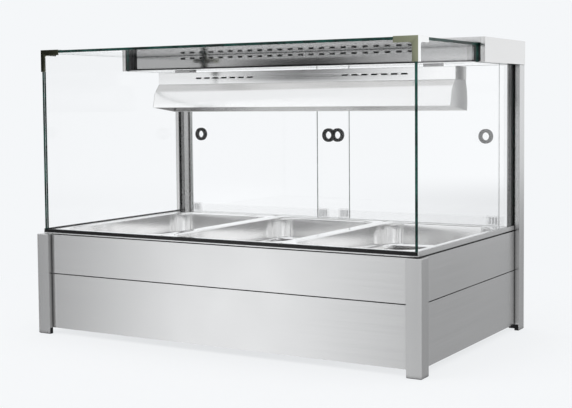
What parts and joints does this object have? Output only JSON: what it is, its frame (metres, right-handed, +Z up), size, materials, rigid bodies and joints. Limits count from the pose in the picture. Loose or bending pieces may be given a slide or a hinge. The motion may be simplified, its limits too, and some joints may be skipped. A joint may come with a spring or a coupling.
{
  "type": "countertop bain-marie",
  "caption": "Countertop hot-food bar: pans over a water bath, square glass front, heat-lamp gantry, sliding rear doors.",
  "frame": {"origin": "on the floor, in the middle of the footprint", "axes": "+X to the customer's right, +Y towards the serving side with the doors, +Z up"},
  "size_m": [1.033, 0.615, 0.708],
  "materials": {
    "steel": "fine brushed",
    "glass": "clear toughened",
    "quartz": "clear quartz",
    "black_plastic": "moulded",
    "black_seal": "matt extruded",
    "clear_plastic": "translucent extruded",
    "ceramic": "glazed ceramic",
    "lamp_lens": "clear amber",
    "rocker": "moulded",
    "valve_metal": "nickel plated",
    "lever": "dipped red"
  },
  "bodies": {
    "cabinet": {"leg_front_left": "steel", "leg_front_right": "steel", "post_back_left": "steel", "post_back_right": "steel", "front_panel_lower": "steel", "front_panel_upper": "steel", "side_panel_left_lower": "steel", "side_panel_left_upper": "steel", "side_panel_right_lower": "steel", "side_panel_right_upper": "steel", "control_panel": "steel", "rear_panel": "steel", "base_tray": "steel", "deck_frame": "steel", "deck_rails": "steel", "divider_bars": "steel", "water_tank": "steel", "header_shell": "steel", "header_base": "steel", "header_fascia": "steel", "header_end_caps": "steel", "lamp_box": "steel", "lamp_hood": "steel", "lamp_end_caps": "steel", "glass_channels": "steel", "panel_screws": "steel", "heating_elements": "steel", "corner_brackets": "steel", "front_glass": "glass", "side_glass_left": "glass", "side_glass_right": "glass", "top_glass": "glass", "heat_lamps": "quartz", "feet": "black_plastic", "glass_holders": "black_plastic", "door_buffers": "black_plastic", "switch_housings": "black_plastic", "thermostat": "black_plastic", "cable_gland": "black_plastic", "front_glass_seal": "black_seal", "glass_seals": "black_seal", "door_track_bottom": "clear_plastic", "door_track_top": "clear_plastic", "lamp_sockets": "ceramic", "terminal_block": "ceramic", "indicator_lamps": "lamp_lens", "drain_valve": "valve_metal"},
    "pan_left": {"pan_left": "steel"},
    "pan_centre": {"pan_centre": "steel"},
    "pan_right": {"pan_right": "steel"},
    "door_left": {"door_left": "glass", "door_left_rings": "black_plastic", "door_left_glides": "clear_plastic"},
    "door_right": {"door_right": "glass", "door_right_rings": "black_plastic", "door_right_glides": "clear_plastic"},
    "thermostat_knob": {"thermostat_knob": "black_plastic"},
    "rocker_power": {"rocker_power": "rocker"},
    "rocker_lamps": {"rocker_lamps": "rocker"},
    "drain_lever": {"drain_lever": "lever"}
  },
  "joints": [
    {"name": "pan_left_lift", "type": "slide", "parent": "cabinet", "child": "pan_left", "axis": [0, 0, 1], "range_m": [0, 0.2]},
    {"name": "pan_centre_lift", "type": "slide", "parent": "cabinet", "child": "pan_centre", "axis": [0, 0, 1], "range_m": [0, 0.2]},
    {"name": "pan_right_lift", "type": "slide", "parent": "cabinet", "child": "pan_right", "axis": [0, 0, 1], "range_m": [0, 0.2]},
    {"name": "door_left_slide", "type": "slide", "parent": "cabinet", "child": "door_left", "axis": [1, 0, 0], "range_m": [0, 0.42]},
    {"name": "door_right_slide", "type": "slide", "parent": "cabinet", "child": "door_right", "axis": [-1, 0, 0], "range_m": [0, 0.42]},
    {"name": "thermostat_turn", "type": "hinge", "parent": "cabinet", "child": "thermostat_knob", "pos_m": [0.15, 0.288, 0.186], "axis": [0, -1, 0], "range_deg": [0, 270]},
    {"name": "rocker_power_tip", "type": "hinge", "parent": "cabinet", "child": "rocker_power", "pos_m": [0.04, 0.2855, 0.186], "axis": [1, 0, 0], "range_deg": [0, 16]},
    {"name": "rocker_lamps_tip", "type": "hinge", "parent": "cabinet", "child": "rocker_lamps", "pos_m": [-0.03, 0.2855, 0.186], "axis": [1, 0, 0], "range_deg": [0, 16]},
    {"name": "drain_lever_turn", "type": "hinge", "parent": "cabinet", "child": "drain_lever", "pos_m": [0.38, 0.2585, 0.096], "axis": [0, 0, -1], "range_deg": [0, 90]}
  ]
}
